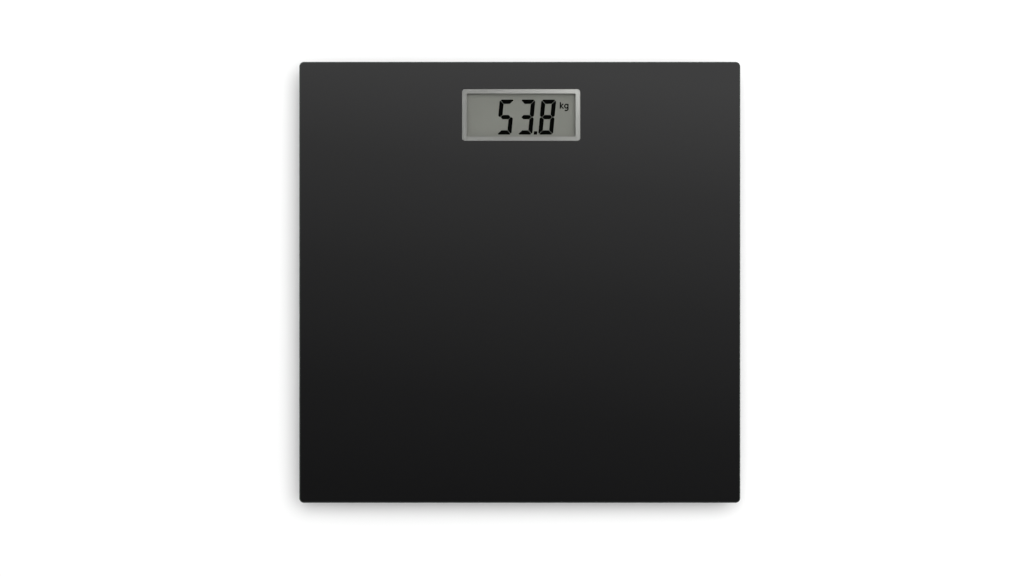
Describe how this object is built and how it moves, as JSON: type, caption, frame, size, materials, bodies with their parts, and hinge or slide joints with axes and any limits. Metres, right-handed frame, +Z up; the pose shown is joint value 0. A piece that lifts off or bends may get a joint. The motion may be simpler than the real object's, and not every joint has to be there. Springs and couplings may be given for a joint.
{
  "type": "bathroom scale",
  "caption": "Square glass-topped digital bathroom scale with load-cell feet, a display window near one edge, and a housing underneath with a battery door and a unit button.",
  "frame": {"origin": "on the floor, under the middle of the platform", "axes": "+Z up through the platform, +Y towards the edge that has the display, +X to the right of a reader of the display"},
  "size_m": [0.285, 0.285, 0.022],
  "materials": {
    "platform_glass": "polished tempered glass",
    "black_ink": "black ceramic ink fired on the glass's underside",
    "bezel_plastic": "silver-grey satin plastic",
    "lcd": "grey-green reflective liquid-crystal panel",
    "zebra_rubber": "striped conductive rubber",
    "foam": "closed-cell foam",
    "board": "green solder mask on glass-fibre board",
    "chip_epoxy": "black epoxy",
    "crystal_can": "drawn nickel-plated can",
    "switch_black": "moulded",
    "switch_plunger": "moulded",
    "button_plastic": "fine-textured",
    "housing_plastic": "fine-textured ABS",
    "cover_plastic": "fine-textured ABS",
    "label": "silver-grey film",
    "cell_steel": "bright stainless",
    "contact_plating": "nickel-plated spring steel",
    "screw_steel": "zinc-plated",
    "foot_plastic": "fine-textured ABS",
    "load_cell_steel": "nickel-plated spring steel",
    "gauge_silicone": "white silicone",
    "cup_plastic": "moulded ABS",
    "foot_rubber": "matt black",
    "lead_pvc": "soft PVC",
    "duct_plastic": "extruded"
  },
  "bodies": {
    "platform": {"glass_platform": "platform_glass", "printed_backing": "black_ink", "display_bezel": "bezel_plastic", "lcd_panel": "lcd", "zebra_strip": "zebra_rubber", "lcd_cushion": "foam", "circuit_board": "board", "controller_chip": "chip_epoxy", "crystal": "crystal_can", "switch_body": "switch_black", "display_housing": "housing_plastic", "rear_cover": "cover_plastic", "rating_label": "label", "coin_cell": "cell_steel", "battery_contact_positive": "contact_plating", "battery_contact_negative": "contact_plating", "cover_screw_1": "screw_steel", "cover_screw_2": "screw_steel", "cover_screw_3": "screw_steel", "cover_screw_4": "screw_steel", "board_screw_1": "screw_steel", "board_screw_2": "screw_steel", "board_screw_3": "screw_steel", "foot_housing_rear_left": "foot_plastic", "load_cell_rear_left": "load_cell_steel", "strain_gauge_rear_left": "gauge_silicone", "foot_housing_rear_right": "foot_plastic", "load_cell_rear_right": "load_cell_steel", "strain_gauge_rear_right": "gauge_silicone", "foot_housing_front_left": "foot_plastic", "load_cell_front_left": "load_cell_steel", "strain_gauge_front_left": "gauge_silicone", "foot_housing_front_right": "foot_plastic", "load_cell_front_right": "load_cell_steel", "strain_gauge_front_right": "gauge_silicone", "lead_rear_right": "lead_pvc", "lead_front_right": "lead_pvc", "duct_rear_right": "duct_plastic", "duct_side_right": "duct_plastic", "duct_cross_right": "duct_plastic", "lead_rear_left": "lead_pvc", "lead_front_left": "lead_pvc", "duct_rear_left": "duct_plastic", "duct_side_left": "duct_plastic", "duct_cross_left": "duct_plastic"},
    "battery_door": {"battery_door": "cover_plastic"},
    "unit_button": {"unit_button": "button_plastic", "switch_plunger": "switch_plunger"},
    "foot_rear_left": {"foot_cup_rear_left": "cup_plastic", "foot_pad_rear_left": "foot_rubber"},
    "foot_rear_right": {"foot_cup_rear_right": "cup_plastic", "foot_pad_rear_right": "foot_rubber"},
    "foot_front_left": {"foot_cup_front_left": "cup_plastic", "foot_pad_front_left": "foot_rubber"},
    "foot_front_right": {"foot_cup_front_right": "cup_plastic", "foot_pad_front_right": "foot_rubber"}
  },
  "joints": [
    {"name": "battery_door_hinge", "type": "hinge", "parent": "platform", "child": "battery_door", "pos_m": [0.03, 0.097, 0.0059], "axis": [1, 0, 0], "range_deg": [0, 75]},
    {"name": "unit_button_press", "type": "slide", "parent": "platform", "child": "unit_button", "axis": [0, 0, 1], "range_m": [0, 0.0005], "stiffness_N_per_m": 300, "springref_m": -0.003},
    {"name": "foot_press_rear_left", "type": "slide", "parent": "platform", "child": "foot_rear_left", "axis": [0, 0, 1], "range_m": [0, 0.0005], "stiffness_N_per_m": 5000, "springref_m": -0.002, "deforming": ["load_cell_rear_left"]},
    {"name": "foot_press_rear_right", "type": "slide", "parent": "platform", "child": "foot_rear_right", "axis": [0, 0, 1], "range_m": [0, 0.0005], "stiffness_N_per_m": 5000, "springref_m": -0.002, "deforming": ["load_cell_rear_right"]},
    {"name": "foot_press_front_left", "type": "slide", "parent": "platform", "child": "foot_front_left", "axis": [0, 0, 1], "range_m": [0, 0.0005], "stiffness_N_per_m": 5000, "springref_m": -0.002, "deforming": ["load_cell_front_left"]},
    {"name": "foot_press_front_right", "type": "slide", "parent": "platform", "child": "foot_front_right", "axis": [0, 0, 1], "range_m": [0, 0.0005], "stiffness_N_per_m": 5000, "springref_m": -0.002, "deforming": ["load_cell_front_right"]}
  ]
}
